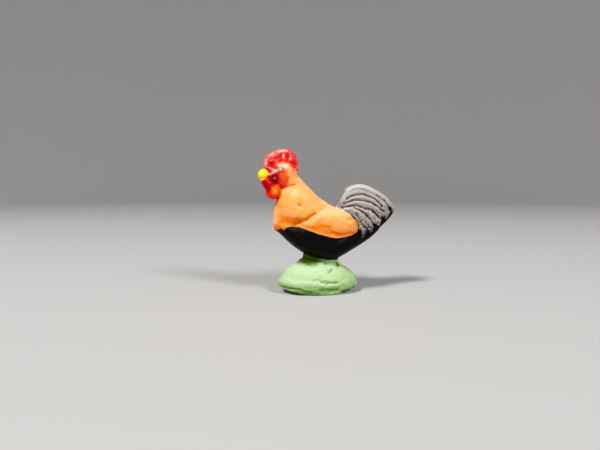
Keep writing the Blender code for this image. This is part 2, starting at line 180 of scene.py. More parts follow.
BEAK = uprights([
    (-12.66, 24.0, 24.9, 0.3),
    (-12.4, 23.55, 25.4, 0.7),
    (-11.7, 23.2, 25.85, 1.0),
    (-10.9, 23.3, 25.8, 1.1),
    (-10.2, 23.7, 25.5, 1.0),
])
WATTLE = [
    (-12.15, 23.4, -10.2, 24.3, 0.6),
    (-11.75, 22.4, -8.9, 23.2, 0.8),
    (-11.1, 21.5, -8.5, 22.1, 0.95),
    (-11.0, 20.6, -8.2, 21.0, 0.95),
    (-10.6, 19.95, -8.3, 20.2, 0.75),
    (-9.9, 19.5, -8.8, 19.6, 0.35),
]
# How far each wattle lies to its side
WATTLE_OFFSET = 0.75
THROAT = [
    (-9.4, 20.1, -7.6, 20.8, 0.9),
    (-9.5, 21.2, -7.1, 21.9, 1.3),
    (-9.8, 22.3, -6.8, 22.8, 1.7),
    (-10.3, 23.2, -6.6, 24.0, 1.6),
]
TAIL = [
    (3.4, 16.9, 3.5, 18.1, 1.6),
    (4.8, 16.0, 4.9, 20.4, 1.9),
    (6.3, 15.1, 6.7, 22.2, 1.95),
    (7.5, 14.2, 9.3, 22.7, 1.95),
    (8.2, 13.2, 12.2, 21.6, 1.85),
    (8.6, 12.2, 14.9, 19.8, 1.75),
    (9.1, 11.4, 16.6, 17.6, 1.4),
    (9.9, 10.9, 16.2, 16.3, 0.9),
    (10.8, 11.0, 15.3, 15.1, 0.5),
]
# Strokes of the tool: line, radius, depth; a depth below 0 raises the clay
COMB_STROKES = [
    ([(-9.4, 27.3), (-5.6, 27.3)], 1.5, 0.25),
    ([(-11.1, 26.5), (-10.9, 27.6), (-10.3, 28.4), (-9.4, 29.0), (-8.2, 29.35), (-7.0, 29.45),
      (-6.0, 29.1), (-5.2, 28.3), (-4.8, 27.3)], 0.4, -0.25),
    ([(-10.0, 26.6), (-9.4, 26.5)], 0.7, 0.7),
    ([(-9.7, 27.85), (-9.3, 27.95)], 0.5, 0.3),
    ([(-8.2, 28.1), (-8.15, 27.4)], 0.5, 0.25),
    ([(-6.85, 28.4), (-6.8, 27.6)], 0.45, 0.28),
    ([(-8.4, 27.15), (-6.9, 27.05)], 0.4, 0.2),
    ([(-5.9, 26.85), (-5.2, 26.45)], 0.6, 0.35),
    ([(-9.95, 27.35), (-9.25, 28.35), (-8.3, 28.75)], 0.25, -0.2),
    ([(-8.9, 27.4), (-8.8, 26.9)], 0.35, -0.2),
    ([(-7.5, 28.9), (-7.45, 27.9)], 0.3, -0.3),
    ([(-6.3, 29.2), (-5.95, 28.4), (-6.0, 27.6)], 0.28, -0.3),
    ([(-10.45, 27.3), (-10.2, 27.45)], 0.3, -0.2),
    ([(-5.2, 27.6), (-5.1, 27.5)], 0.3, -0.25),
    ([(-9.75, 30.0), (-9.65, 29.4)], 0.35, 0.14),
]
HEAD_STROKES = [
    ([(-11.3, 26.0), (-10.7, 26.1), (-10.2, 25.9)], 0.2, -0.2),
    ([(-10.6, 25.4), (-9.9, 25.45)], 0.25, 0.3),
    ([(-8.95, 25.2), (-8.7, 26.0), (-8.0, 26.2), (-7.55, 25.6), (-7.8, 24.9), (-8.5, 24.7)], 0.2, 0.12),
    ([(-10.5, 24.5), (-9.8, 24.9), (-9.0, 25.2)], 0.28, -0.32),
    ([(-10.2, 25.9), (-9.65, 25.55), (-8.95, 25.45)], 0.28, -0.25),
    ([(-8.6, 26.35), (-7.6, 26.4), (-6.6, 26.15), (-5.9, 25.7)], 0.5, -0.35),
    ([(-10.0, 24.1), (-9.7, 23.4), (-9.1, 22.9)], 1.0, 0.5),
    ([(-9.38, 23.85), (-9.32, 23.85)], 0.22, -0.25),
    ([(-8.2, 24.6), (-8.3, 22.9)], 0.35, -0.25),
    ([(-7.3, 24.3), (-7.3, 23.1)], 0.5, -0.2),
    ([(-8.2, 22.05), (-7.6, 22.0), (-6.9, 22.15)], 0.35, 0.3),
    ([(-9.2, 21.8), (-9.2, 21.0)], 0.65, -0.4),
    ([(-10.1, 22.1), (-9.95, 21.7)], 0.22, -0.2),
    ([(-10.2, 21.5), (-10.2, 20.6)], 0.3, 0.12),
]
# Grooves between the sickle feathers, with a notch where one reaches the tail's edge
TAIL_STROKES = [
    ([(5.5, 20.1), (6.3, 21.1), (7.2, 21.55), (8.3, 21.7), (9.6, 21.4), (10.9, 20.85),
      (12.2, 20.3)], 0.22, 0.1),
    ([(12.2, 20.3), (13.5, 19.45), (14.7, 18.4), (15.1, 17.7)], 0.22, 0.18),
    ([(5.7, 19.6), (6.5, 20.1), (7.8, 20.4), (9.1, 20.5), (10.4, 20.1), (11.6, 19.6), (12.7, 18.8),
      (13.4, 17.9)], 0.22, 0.24),
    ([(5.1, 18.6), (6.3, 19.0), (7.2, 19.3), (8.3, 19.3), (9.8, 19.1), (10.9, 18.8), (12.0, 18.2),
      (13.1, 17.5), (13.9, 16.9)], 0.22, 0.24),
    ([(4.8, 17.8), (6.1, 18.0), (7.6, 18.2), (8.7, 17.9), (9.8, 17.5), (10.7, 17.4), (11.6, 16.8),
      (12.7, 15.8), (13.6, 15.2)], 0.26, 0.32),
    ([(7.3, 17.7), (8.5, 17.2), (9.4, 16.6), (10.3, 15.85), (11.0, 15.0), (11.7, 14.1),
      (12.1, 13.7)], 0.25, 0.3),
    ([(7.8, 16.4), (8.5, 15.2), (9.0, 14.2), (9.5, 13.5)], 0.26, 0.28),
    ([(15.1, 17.5), (15.7, 17.2)], 0.3, 0.4),
    ([(13.5, 15.75), (14.0, 15.3)], 0.3, 0.3),
    ([(12.0, 14.1), (12.5, 13.6)], 0.3, 0.35),
    ([(9.5, 13.5), (10.0, 12.7)], 0.35, 0.4),
]
BODY_STROKES = [
    ([(-8.0, 21.8), (-7.4, 21.85), (-6.6, 22.1), (-5.8, 22.35), (-4.8, 22.6)], 0.35, 0.18),
    ([(-4.85, 18.5), (-4.6, 18.3)], 0.38, 0.32),
    ([(-4.9, 17.8), (-4.5, 17.75)], 0.35, -0.07),
    ([(-7.6, 15.5), (-6.3, 15.3), (-5.3, 15.1)], 1.1, 0.35),
    ([(-5.6, 14.4), (-4.75, 14.85)], 0.3, 0.28),
    ([(-4.75, 14.85), (-3.6, 15.55)], 0.25, 0.1),
    ([(-3.5, 15.5), (-2.4, 16.2), (-1.6, 16.75)], 0.3, 0.27),
    ([(-1.2, 14.4), (-0.1, 14.3), (1.1, 13.9), (2.1, 13.3)], 0.5, 0.14),
    ([(1.8, 12.85), (2.8, 12.6), (3.8, 12.4), (4.8, 12.3), (6.0, 12.6)], 0.28, 0.22),
    ([(4.2, 16.0), (5.6, 15.45), (7.1, 15.4)], 0.28, 0.2),
    ([(5.4, 14.7), (6.6, 14.5)], 0.5, -0.12),
]
GROUND_STROKES = [
    ([(-3.6, 3.2), (-2.6, 3.15), (-1.0, 3.1), (-0.2, 2.75), (1.0, 2.6)], 0.35, 0.12),
    ([(-0.2, 2.75), (0.6, 2.6), (1.8, 2.65), (2.8, 2.5)], 0.28, 0.18),
    ([(3.1, 2.65), (4.3, 2.95), (5.6, 2.95)], 0.35, 0.08),
    ([(-5.8, 3.3), (-4.6, 3.5)], 0.5, 0.1),
    ([(1.5, 4.6), (1.9, 4.9), (2.3, 5.05)], 0.18, 0.26),
    ([(-3.05, 6.35), (-2.95, 6.3)], 0.3, 0.4),
    ([(3.5, 5.9), (3.65, 5.75)], 0.4, 0.7),
    ([(0.9, 6.6), (1.3, 5.9)], 0.35, 0.12),
    ([(-7.6, 1.65), (-6.8, 1.42), (-5.7, 1.46), (-4.6, 1.25), (-3.2, 0.82), (-2.3, 0.6)], 0.22, 0.24),
    ([(-0.6, 1.05), (0.4, 1.2), (1.6, 1.2), (3.1, 1.1)], 0.4, 0.24),
    ([(-7.2, 0.9), (-5.6, 0.8), (-4.2, 0.4)], 0.25, -0.1),
    ([(-0.95, 0.0), (-0.75, 0.25)], 0.3, 0.25),
    ([(4.2, 0.2), (5.5, 0.35), (6.7, 0.6)], 0.35, 0.6),
    ([(6.2, 2.6), (6.9, 1.6)], 0.3, 0.12),
]

# Outlines in the side view of the paints, and of the places with painted sheen, highlights and shade
PAINTED = {
    "grey": [[
        (2.3, 18.2), (2.6, 26.0), (19.0, 26.0), (19.0, 17.4), (16.6, 17.0), (16.1, 16.7), (15.9, 17.3),
        (15.4, 17.9), (14.8, 17.9), (14.9, 17.3), (15.3, 16.9), (15.1, 16.1), (14.5, 15.2), (14.2, 15.9),
        (13.6, 15.6), (13.4, 14.9), (13.3, 14.0), (12.75, 13.7), (12.3, 14.2), (11.6, 14.6), (11.5, 13.8),
        (11.4, 13.0), (10.9, 12.5), (10.55, 13.2), (9.9, 13.4), (9.8, 12.8), (9.45, 11.9), (9.1, 11.3),
        (8.8, 11.7), (8.9, 12.8), (8.4, 13.4), (7.6, 12.9), (7.0, 15.5),
    ]],
    "green": [[
        (-9.0, 9.2), (-4.2, 8.6), (-3.0, 8.1), (-1.3, 7.5), (0.4, 7.15), (1.9, 6.9), (4.1, 6.95),
        (9.0, 7.2), (12.0, -3.0), (-12.0, -3.0),
    ]],
    # Painted shadow of the body on the far leg and the mound's top
    "olive_shadow": [[(-5.0, 8.8), (-4.8, 6.3), (-2.6, 5.9), (-0.8, 6.0), (-0.3, 6.5), (-0.2, 8.8)]],
    # Painted shade on the near leg under the belly
    "near_leg_shade": [[(0.1, 8.0), (0.2, 6.4), (1.3, 6.1), (2.9, 5.8), (3.9, 6.0), (4.4, 7.5)]],
    "orange": [[
        (-12.0, 12.9), (-9.2, 13.2), (-8.8, 13.3), (-8.4, 13.7), (-8.1, 13.75), (-7.75, 13.3),
        (-7.35, 13.85), (-6.4, 14.2), (-4.7, 14.1), (-3.1, 13.5), (-1.0, 12.75), (0.6, 12.25),
        (1.65, 11.95), (3.1, 11.75), (4.4, 11.9), (6.1, 12.15), (7.5, 12.85), (8.0, 13.9), (7.4, 15.2),
        (6.3, 16.5), (4.75, 17.4), (3.2, 18.1), (2.6, 18.9), (2.0, 23.0), (-3.0, 30.5), (-14.0, 30.5),
    ]],
    # Painted shade in the hollows of breast, wing fold, dimple and neck
    "deep_orange": [
        [(-8.6, 16.5), (-7.3, 16.1), (-6.3, 15.8), (-5.0, 15.95), (-3.7, 15.9), (-1.6, 17.1),
         (-1.3, 16.85), (-1.9, 16.3), (-2.9, 15.55), (-4.4, 14.9), (-5.3, 14.6), (-6.3, 14.6),
         (-7.6, 14.9), (-8.8, 14.8), (-8.2, 15.6)],
        [(-2.7, 14.0), (-0.9, 14.6), (0.2, 14.55), (1.3, 14.2), (1.7, 13.6), (2.2, 13.1), (3.4, 12.7),
         (4.6, 12.5), (6.2, 12.7), (7.2, 13.3), (7.5, 14.6), (7.9, 14.0), (7.6, 13.0), (6.2, 12.2),
         (4.6, 12.05), (3.0, 12.25), (1.1, 13.5), (-0.3, 13.85), (-1.7, 13.55)],
        [(-5.2, 18.8), (-4.7, 18.85), (-4.25, 18.5), (-4.4, 18.15), (-5.0, 18.35)],
        [(-9.0, 20.6), (-8.5, 20.4), (-8.6, 18.9), (-9.4, 17.8)],
        [(-7.8, 22.45), (-6.6, 22.85), (-5.1, 22.8), (-5.4, 22.3), (-7.1, 22.0)],
        [(-9.4, 14.4), (-8.6, 14.6), (-8.0, 14.1), (-8.5, 13.3), (-9.6, 13.2)],
    ],
    # Painted highlights on the hackle's top, the saddle's edge and the wing by the crease
    "lit_cream": [
        [(-8.0, 21.5), (-6.8, 21.8), (-5.1, 22.1), (-3.6, 21.0), (-3.6, 20.0), (-5.9, 20.4),
         (-7.8, 20.7)],
        [(2.9, 18.2), (4.6, 17.7), (5.9, 16.9), (6.9, 16.0), (7.2, 15.4), (6.2, 16.0), (4.9, 16.8),
         (3.0, 17.3)],
        [(-3.4, 14.9), (-1.4, 16.2), (0.2, 17.3), (0.8, 17.0), (-0.8, 15.8), (-2.6, 14.6)],
    ],
    # Painted light on the breast's front edge
    "breast_edge_light": [[(-10.6, 18.4), (-8.9, 18.0), (-8.6, 16.0), (-8.8, 14.2), (-10.6, 14.0)]],
    "wing_band": [
        [(-4.6, 14.5), (-3.4, 14.6), (-2.4, 14.4), (-1.1, 14.5), (0.6, 13.9), (1.8, 12.9), (3.0, 12.6),
         (4.2, 12.4), (3.6, 11.95), (1.7, 12.2), (-0.8, 13.0), (-3.4, 13.9)],
        [(4.6, 16.2), (5.8, 15.9), (7.0, 15.1), (7.9, 14.2), (7.6, 13.4), (7.2, 14.4), (6.4, 15.1),
         (5.2, 15.5)],
    ],
    # Painted highlights above the eye and along the saddle
    "highlight_spots": [
        [(-8.8, 26.35), (-8.0, 26.7), (-7.1, 26.75), (-6.7, 26.3), (-6.9, 25.8), (-7.5, 26.1),
         (-8.2, 26.2)],
        [(3.3, 18.2), (4.6, 17.7), (5.8, 17.0), (6.7, 16.2), (6.4, 16.0), (5.2, 16.8), (4.0, 17.4),
         (3.2, 17.7)],
    ],
    "pink_neck": [[
        (-7.6, 26.5), (-5.6, 25.8), (-4.2, 24.2), (-3.2, 22.8), (-5.8, 22.3), (-6.8, 22.6), (-6.6, 24.3),
    ]],
    "red": [[
        (-3.6, 25.0), (-4.75, 25.3), (-5.1, 25.5), (-5.95, 26.2), (-6.55, 26.9), (-7.4, 27.05),
        (-8.75, 26.7), (-8.6, 26.0), (-7.7, 25.8), (-7.0, 25.3), (-6.6, 24.4), (-6.6, 23.0), (-6.9, 22.2),
        (-8.05, 21.4), (-8.5, 20.3), (-8.7, 19.4), (-9.0, 18.4), (-15.0, 18.4), (-15.0, 31.5),
        (-3.0, 31.5),
    ]],
    # Painted shade on the tail's root, behind the saddle
    "tail_root_shade": [[
        (2.6, 18.1), (3.6, 19.8), (4.6, 21.4), (5.3, 22.0), (5.7, 21.1), (5.1, 20.5), (4.6, 19.4),
        (4.6, 18.1),
    ]],
    # Painted shade under the hackle's lower edge
    "cape_shade": [[
        (-7.3, 15.55), (-6.3, 15.65), (-4.9, 15.4), (-4.4, 15.0), (-5.4, 14.8), (-6.8, 14.9),
    ]],
    # Painted highlight along the comb's upper front rim
    "comb_rim_highlight": [[
        (-11.6, 26.0), (-11.6, 27.4), (-11.0, 28.5), (-10.0, 29.4), (-8.4, 30.2), (-6.9, 30.2),
        (-6.7, 29.4), (-8.4, 29.1), (-9.6, 28.5), (-10.4, 27.7), (-10.8, 26.4),
    ]],
    # Painted shade in the comb's two deepest pits
    "comb_pit_shade": [
        [(-10.3, 26.9), (-9.7, 27.1), (-9.2, 26.8), (-9.3, 26.3), (-10.0, 26.2)],
        [(-6.4, 26.9), (-5.7, 27.2), (-5.0, 26.7), (-5.0, 26.1), (-5.6, 26.3)],
    ],
    # Painted reflection: a dull sheen on the black breast and rump
    "breast_sheen": [[(-7.0, 14.0), (-6.6, 13.5), (-4.0, 13.2), (-3.6, 13.5), (-4.5, 14.2)]],
    "rump_sheen": [[(3.5, 11.2), (3.8, 10.8), (5.0, 11.3), (5.1, 11.8)]],
    "ear": [[
        (-8.1, 25.0), (-7.1, 25.1), (-6.7, 24.3), (-6.8, 23.3), (-7.3, 22.7), (-8.15, 22.7), (-8.4, 23.9),
    ]],
    # Painted shade in the hollow under the eye and under the beak
    "cheek": [
        [(-10.7, 24.3), (-9.9, 24.7), (-8.9, 24.8), (-8.5, 24.3), (-8.55, 23.1), (-9.0, 22.4),
         (-10.0, 22.5), (-10.7, 23.3)],
        [(-12.3, 23.5), (-11.2, 23.5), (-10.6, 23.9), (-9.7, 22.6), (-10.2, 21.2), (-10.8, 21.0),
         (-11.6, 22.0)],
    ],
    "glint": [
        [(-8.7, 25.65), (-9.65, 25.65), (-10.1, 25.95), (-10.7, 26.2), (-10.1, 25.7), (-9.6, 25.3),
         (-8.9, 25.2)],
        [(-9.2, 25.3), (-9.8, 25.1), (-10.55, 24.6), (-10.3, 24.4), (-9.6, 24.75), (-9.0, 25.0)],
        [(-11.3, 26.6), (-11.25, 27.3), (-11.0, 27.6), (-10.9, 27.1), (-11.05, 26.5)],
        [(-10.6, 28.0), (-10.2, 28.6), (-9.5, 29.0), (-9.5, 28.75), (-10.1, 28.2)],
        [(-8.9, 29.35), (-7.7, 29.7), (-6.7, 29.55), (-6.7, 29.25), (-7.7, 29.3), (-8.8, 29.0)],
        [(-7.3, 28.9), (-7.35, 28.1), (-7.65, 28.1), (-7.6, 28.9)],
        [(-6.3, 28.9), (-5.85, 28.3), (-6.0, 27.6), (-6.25, 27.6), (-6.15, 28.3)],
        [(-9.9, 28.35), (-9.0, 28.8), (-8.8, 28.65), (-9.8, 28.1)],
        [(-9.5, 23.75), (-9.45, 23.9), (-9.3, 23.9), (-9.3, 23.75)],
    ],
    # Painted shadow under the jaw, down the seam of wattle and hackle
    "jaw_shadow": [[
        (-8.5, 22.3), (-7.7, 22.5), (-6.7, 22.4), (-7.3, 21.8), (-8.0, 21.4), (-8.5, 20.3), (-8.9, 18.8),
        (-9.0, 20.1), (-8.5, 21.5),
    ]],
    "lump": [[
        (-9.9, 21.9), (-9.3, 22.3), (-8.7, 22.4), (-8.3, 22.0), (-8.4, 21.2), (-8.9, 20.5), (-9.7, 20.5),
        (-10.0, 21.2),
    ]],
    # Painted shade in the mound's folds and under its lip
    "fold_shade": [
        [(-7.8, 1.75), (-6.8, 1.6), (-5.6, 1.65), (-4.4, 1.35), (-3.1, 1.0), (-2.2, 0.75), (-2.3, 0.4),
         (-3.4, 0.6), (-4.7, 1.0), (-5.8, 1.25), (-7.0, 1.2)],
        [(-1.0, 0.9), (-0.2, 1.4), (1.0, 1.5), (2.3, 1.45), (3.4, 1.3), (3.1, 0.9), (1.45, 0.8),
         (0.0, 0.7)],
        [(-0.5, 2.95), (0.6, 2.75), (1.9, 2.8), (3.0, 2.65), (2.9, 2.4), (1.8, 2.5), (0.6, 2.45),
         (-0.3, 2.6)],
        [(1.3, 4.6), (1.85, 5.1), (2.5, 5.25), (2.3, 4.95), (1.9, 4.75), (1.5, 4.4)],
        [(4.0, 1.0), (6.0, 1.2), (7.4, 1.6), (7.0, 0.5), (4.2, 0.2)],
    ],
    "yellow": [[
        (-14.0, 26.4), (-11.9, 26.0), (-11.2, 25.8), (-10.85, 25.4), (-10.65, 24.8), (-10.8, 24.25),
        (-11.2, 23.85), (-11.9, 23.4), (-14.0, 23.0),
    ]],
}
# Linear colours
PAINT = {
    "black": (0.003, 0.0026, 0.003),
    # Dust on the black, and painted reflection as a dull sheen
    "dust_and_sheen_black": (0.03, 0.021, 0.019),
    "brown_black": (0.045, 0.028, 0.024),
    "dull_grey": (0.11, 0.092, 0.085),
    "grey": (0.3, 0.27, 0.255),
    # Painted highlight on the tail's ridges where they face up
    "highlight_grey": (0.56, 0.53, 0.515),
    "brown_grey": (0.5, 0.41, 0.375),
    # Painted shade, brownish grey, on the tail's root
    "root_shade_grey": (0.17, 0.125, 0.11),
    "green": (0.28, 0.48, 0.15),
    # Green's paler tone: painted light on top, and random blotches
    "pale_green": (0.5, 0.67, 0.38),
    # Painted shade on the green
    "shade_green": (0.09, 0.21, 0.02),
    # Painted shadow on the green
    "olive_shadow": (0.07, 0.12, 0.005),
    "orange": (0.95, 0.35, 0.05),
    "pale_orange": (0.96, 0.43, 0.12),
    "pink_orange": (0.96, 0.36, 0.15),
    # Painted highlight on the orange
    "lit_cream": (0.96, 0.6, 0.29),
    # Painted highlight, pinkish white
    "highlight_white": (0.93, 0.6, 0.52),
    "rich_orange": (0.95, 0.25, 0.008),
    # The lump's paint and random specks, and painted shade on the orange
    "deep_orange": (0.92, 0.185, 0.0005),
    # Painted shade, brown, in the deepest creases
    "shade_brown": (0.5, 0.09, 0.001),
    "red": (0.94, 0.002, 0.003),
    # Pink: painted highlight and sheen on the red
    "pink": (0.95, 0.26, 0.21),
    "pale_pink": (0.96, 0.62, 0.54),
    # Painted shade on the red
    "shade_red": (0.25, 0.0005, 0.001),
    "orange_red": (0.96, 0.1, 0.008),
    "yellow": (0.95, 0.71, 0.005),
    # Painted shade on the yellow
    "shade_yellow": (0.92, 0.42, 0.003),
    "eye_black": (0.03, 0.028, 0.028),
    # Painted highlight on the eye
    "eye_highlight": (0.5, 0.44, 0.43),
}
ROUGHNESS = {"black": 0.3, "dusty_black": 0.45, "grey": 0.5, "green": 0.6, "orange": 0.38, "red": 0.25,
             "yellow": 0.3, "eye": 0.12, "paper": 0.9}
# Clear gloss over the paints that shine
GLOSS = {"red": 0.4, "yellow": 0.7}
GLOSS_ROUGHNESS = 0.12
PAINT_SPECULAR = 0.04
EYE_SPECULAR = 0.9
# Grain of what varies in the paint and in the surface
GRAIN = {"blotch": 1.6, "hand": 0.8, "speck": 0.32, "broken": 0.5, "streak": 1.3, "pink_sheen": 0.6,
         "rolled": 1.1, "kneaded": 0.7, "strokes": 0.3, "clay": 0.18, "eye": 0.35}
BUMP_DEPTH = {"rolled": 0.35, "kneaded": 0.2, "strokes": 0.045, "clay": 0.012}
# How far a paint's border sways
HAND_SWAY = 0.7
# Rounds of evening out the mesh, and of smoothing that the relief is measured against
SETTLE_ROUNDS = 3
RELIEF_ROUNDS = 14
# Places out along the normal where the clay's own shade is felt for
SHADE_REACH = (0.3, 0.6, 1.1, 2.0)
# Lumps left by hand, each a height and a grain
BIRD_LUMPS = (0.06, 2.2)
MOUND_LUMPS = (0.14, 2.4)
MOUND_CRUMBS = (0.05, 0.8)
EYE_LUMPS = (0.04, 0.5)
# The mound's lumps are full below one height and end at another, and all lumps fade out at the floor
MOUND_LUMPS_FULL = 7.0
MOUND_LUMPS_END = 8.5
FLOOR_FADE = 0.4
# Eyes: place in the side view, radius, share of it across, how far the middle lies under the surface,
# and the way that the eye's painted highlight faces
EYE = (-8.25, 25.45)
EYE_RADIUS = 0.56
EYE_FLATNESS = 0.65
EYE_SINK = 0.15
EYE_HIGHLIGHT_WAY = (-0.5, 0.7)
# Camera: focal length in the photograph's pixels, tilt and turn in degrees, nearest depth in metres
FOCAL_PIXELS = 453.0
PHOTO_WIDTH = 600
SENSOR_WIDTH = 36
CAMERA_PLACE = (-18.73, -93.63, 22.43)
CAMERA_TILT = 5
CAMERA_TURN = -9.0
NEAREST_SEEN = 0.001
# The pale sweep that the bird stands on, in metres
SWEEP_RADIUS = 1.0
SWEEP_CURVE = 0.45
SWEEP_HEIGHT = 1.3
SWEEP_STEPS = 12
PAPER = (0.52, 0.51, 0.5)
# Lamps: name, place and size in metres, power
LAMPS = [
    ("left_key", (-0.38, -0.265, 0.59), 0.14, 5.0),
    ("right_key", (0.38, -0.453, 0.462), 0.2, 3.2),
]
LAMP_TARGET = (0, 0, 0.015)
ROOM_LIGHT = 0.12


def smooth_rows(rows):
    """Rows of numbers with more between each pair, on a smooth curve through them."""
    rows = np.asarray(rows, dtype=float)
    padded = np.vstack([rows[:1], rows, rows[-1:]])
    t = np.arange(RIB_STEPS)[:, None] / RIB_STEPS
    smoothed = []
    for before, start, end, after in zip(padded, padded[1:], padded[2:], padded[3:]):
        smoothed.append(0.5 * (2 * start + (end - before) * t
                               + (2 * before - 5 * start + 4 * end - after) * t ** 2
                               + (3 * start - before - 3 * end + after) * t ** 3))
    return np.vstack(smoothed + [rows[-1:]])


def rib_maps(ribs):
    """For each place of the side view: how far along its rib, -1 to 1, the rib's half length and half
    width, and how far the place lies past the first or last rib."""
    rows = smooth_rows(ribs)
    middles = (rows[:, 0:2] + rows[:, 2:4]) / 2
    arms = (rows[:, 2:4] - rows[:, 0:2]) / 2
    fine_ribs = np.column_stack([middles, arms, rows[:, 4]])
    onward = np.gradient(middles, axis=0)
    normals = np.stack([-arms[:, 1], arms[:, 0]], axis=1)
    normals *= np.sign((normals * onward).sum(axis=1, keepdims=True))
    normals /= np.linalg.norm(normals, axis=1, keepdims=True)
    past = [(SIDE_X - middle[0]) * normal[0] + (SIDE_Z - middle[1]) * normal[1]
            for middle, normal in zip(middles, normals)]
    along = np.full(SIDE_X.shape, np.inf)
    half_length = np.ones_like(along)
    half_width = np.ones_like(along)
    beyond = np.zeros_like(along)

    def consider(where, rib, distance):
        """Take over this rib's values where it fits a place better than the ribs before."""
        middle_x, middle_z, arm_x, arm_z, width = rib
        length_squared = arm_x ** 2 + arm_z ** 2
        found = ((SIDE_X - middle_x) * arm_x + (SIDE_Z - middle_z) * arm_z) / length_squared
        misfit = np.abs(found) + np.maximum(distance, 0)
        better = where & (misfit < np.abs(along) + np.maximum(beyond, 0))
        along[better] = found[better]
        half_length[better] = np.broadcast_to(np.sqrt(length_squared), along.shape)[better]
        half_width[better] = np.broadcast_to(width, along.shape)[better]
        beyond[better] = distance[better]

    for k in range(len(rows) - 1):
        between = (past[k] >= 0) & (past[k + 1] <= 0)
        share = past[k] / np.maximum(past[k] - past[k + 1], 1e-9)
        rib = [start + share * (end - start) for start, end in zip(fine_ribs[k], fine_ribs[k + 1])]
        nearer_end = -past[0] if k < len(rows) / 2 else past[-1]
        consider(between, rib, np.minimum(nearer_end, 0.0))
    for k, distance in ((0, -past[0]), (-1, past[-1])):
        consider(distance > 0, fine_ribs[k], distance)
    return along, half_length, half_width, beyond


def clay(ribs, squareness=2.0, offset=0.0):
    """The field of a form over ribs. Squareness 2 gives an ellipse, more a fuller section."""
    along, half_length, half_width, beyond = (m[:, None, :] for m in rib_maps(ribs))
    n = squareness
    u = np.minimum(np.abs(along), FAR_ALONG)
    v = np.abs(ACROSS - offset) / half_width
    r = np.maximum((u ** n + v ** n) ** (1 / n), LEAST_DIVISOR)
    slope = r ** (1 - n) * np.sqrt((u ** (n - 1) / half_length) ** 2 + (v ** (n - 1) / half_width) ** 2)
    return np.maximum((r - 1) / np.maximum(slope, LEAST_DIVISOR), beyond)


def melt(field, other, reach):
    """Join two forms with a fillet of about the given reach."""
    overlap = np.maximum(reach - np.abs(field - other), 0.0) / reach
    return np.minimum(field, other) - overlap ** 2 * reach / 4


def line_distance(line, x, z):
    """Distance in the side view from each place to a line of points."""
    nearest = np.full(x.shape, np.inf)
    for (ax, az), (bx, bz) in zip(line, line[1:]):
        run_x, run_z = bx - ax, bz - az
        t = np.clip(((x - ax) * run_x + (z - az) * run_z) / (run_x ** 2 + run_z ** 2), 0, 1)
        nearest = np.minimum(nearest, np.hypot(x - ax - t * run_x, z - az - t * run_z))
    return nearest


def press(field, strokes, sides=(-1, 1), waver=0.0):
    """Press strokes of the tool into the clay along lines of the side view, or raise it where a depth
    is below 0. The far side's strokes lie a little off the near side's, as two hands would have them."""
    for line, radius, depth in strokes:
        for side in sides:
            shift = 0.0 if side < 0 else STROKE_SHIFT
            x = SIDE_X + waver * WAVER_X - shift
            z = SIDE_Z + waver * WAVER_Z + shift
            mark = HAND_FORCE * np.exp(-(line_distance(line, x, z) / radius) ** 2)
            face = 1 / (1 + np.exp(-side * ACROSS / MIDDLE_SOFTNESS))
            field = field + depth * mark[:, None, :] * face
    return field


def shape_clay():
    """The whole bird and mound."""
    body = melt(clay(TORSO, squareness=2.25), clay(WINGS, squareness=3.0), reach=0.6)
    legs = melt(clay(LEG_WEB), clay(FORWARD_LEG, offset=LEG_OFFSET), reach=0.6)
    legs = melt(legs, clay(REAR_LEG, offset=-LEG_OFFSET), reach=0.6)
    ground = melt(clay(MOUND, squareness=2.2), legs, reach=1.2)
    body = melt(body, ground, reach=0.6)
    body = melt(body, press(clay(TAIL, squareness=3.8), TAIL_STROKES), reach=0.5)
    body = melt(body, clay(HACKLE), reach=1.2)
    head = melt(clay(HEAD), clay(THROAT), reach=0.5)
    for side in (-1, 1):
        head = melt(head, clay(WATTLE, offset=side * WATTLE_OFFSET), reach=0.35)
    comb = press(clay(COMB, squareness=2.5), COMB_STROKES)
    head = press(melt(head, comb, reach=0.3), HEAD_STROKES)
    head = melt(head, clay(BEAK), reach=0.25)
    whole = press(melt(body, head, reach=0.4), BODY_STROKES, waver=0.6)
    whole = press(whole, GROUND_STROKES, sides=(-1,), waver=1.0)
    return np.maximum(whole, -GRID_Z)


def draw_off(field):
    """Vertices and quads of the surface where the field is zero."""
    inside = field < 0
    shape = np.array(field.shape) - 1
    count = sum(inside[i:i + shape[0], j:j + shape[1], k:k + shape[2]].astype(np.int8)
                for i, j, k in CELL_CORNERS)
    cells = np.argwhere((count > 0) & (count < 8))
    number = np.full(shape, -1, dtype=np.int64)
    number[tuple(cells.T)] = np.arange(len(cells))
    places = np.zeros((len(cells), 3))
    crossings = np.zeros(len(cells))
    for start in CELL_CORNERS:
        for axis, step in enumerate(np.eye(3, dtype=int)):
            if start[axis]:
                continue
            near = field[tuple((cells + start).T)]
            far = field[tuple((cells + start + step).T)]
            crossed = (near < 0) != (far < 0)
            t = np.where(crossed, near / np.where(crossed, near - far, 1.0), 0.0)
            places += np.where(crossed[:, None], start + t[:, None] * step, 0.0)
            crossings += crossed
    places = (cells + places / crossings[:, None]) * GRID_STEP + np.array(GRID_LOW)
    quads = []
    for axis in range(3):
        entering = np.diff(inside.astype(np.int8), axis=axis)
        side_a, side_b = (axis + 1) % 3, (axis + 2) % 3
        for edges, flipped in ((np.argwhere(entering < 0), False), (np.argwhere(entering > 0), True)):
            ring = []
            for back_a, back_b in ((1, 1), (0, 1), (0, 0), (1, 0)):
                cell = edges.copy()
                cell[:, side_a] -= back_a
                cell[:, side_b] -= back_b
                ring.append(number[tuple(cell.T)])
            if flipped:
                ring.reverse()
            quads.append(np.stack(ring, axis=1))
    return places, np.vstack(quads)


